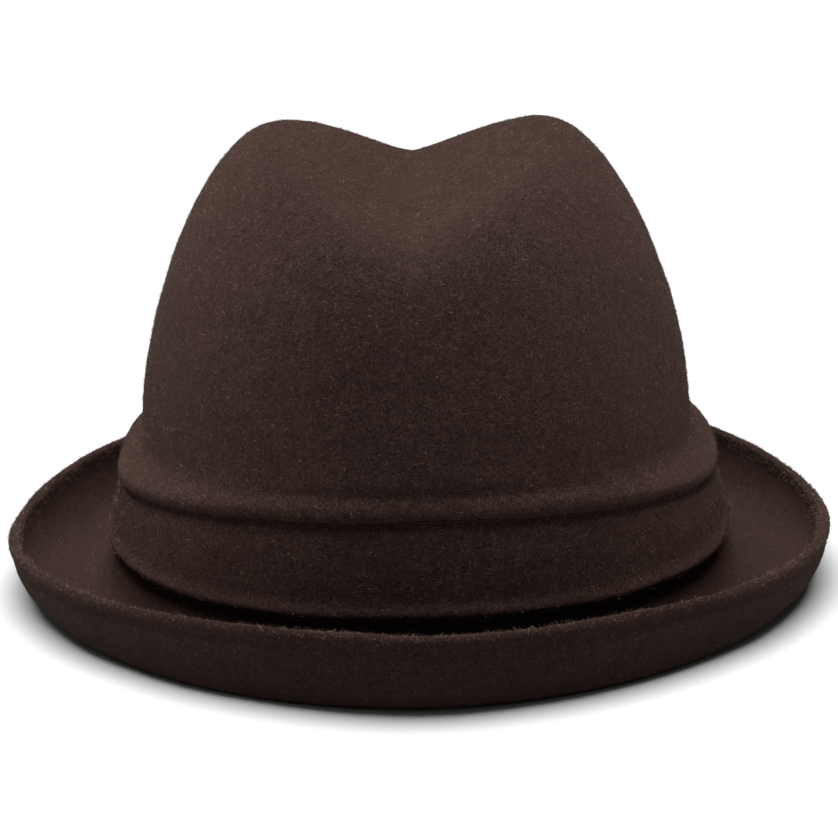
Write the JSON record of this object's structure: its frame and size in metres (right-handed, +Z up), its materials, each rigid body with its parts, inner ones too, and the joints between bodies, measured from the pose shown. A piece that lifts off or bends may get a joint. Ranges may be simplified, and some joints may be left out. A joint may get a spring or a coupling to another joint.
{
  "type": "felt trilby hat",
  "caption": "Soft wool felt trilby with a centre-dent crown, a seamed side band, a short rolled-up brim, an inner sweatband and a hanging care label.",
  "frame": {"origin": "middle of the hat at the underside of the brim, on the table it stands on", "axes": "+Z up through the crown, -Y the front of the hat, +X the wearer's left"},
  "size_m": [0.2306, 0.2588, 0.1269],
  "materials": {
    "felt": "dark brown wool felt with a short matt nap",
    "sweatband_cloth": "black-brown ribbed grosgrain",
    "label_cloth": "off-white woven satin tape",
    "thread": "dark brown twisted sewing thread"
  },
  "bodies": {
    "hat": {"crown_felt": "felt", "band_felt": "felt", "brim_felt": "felt", "sweatband": "sweatband_cloth", "sweatband_joint_tape": "sweatband_cloth", "size_label": "label_cloth", "care_label_hem": "label_cloth", "crown_seam_stitches": "thread", "brim_seam_stitches": "thread", "sweatband_stitches": "thread", "tape_stitches": "thread", "label_stitches": "thread"},
    "care_label": {"care_label": "label_cloth"}
  },
  "joints": [
    {"name": "care_label_fold", "type": "hinge", "parent": "hat", "child": "care_label", "pos_m": [0.0756, 0, 0.0385], "axis": [0, 1, 0], "range_deg": [0, 100]}
  ]
}
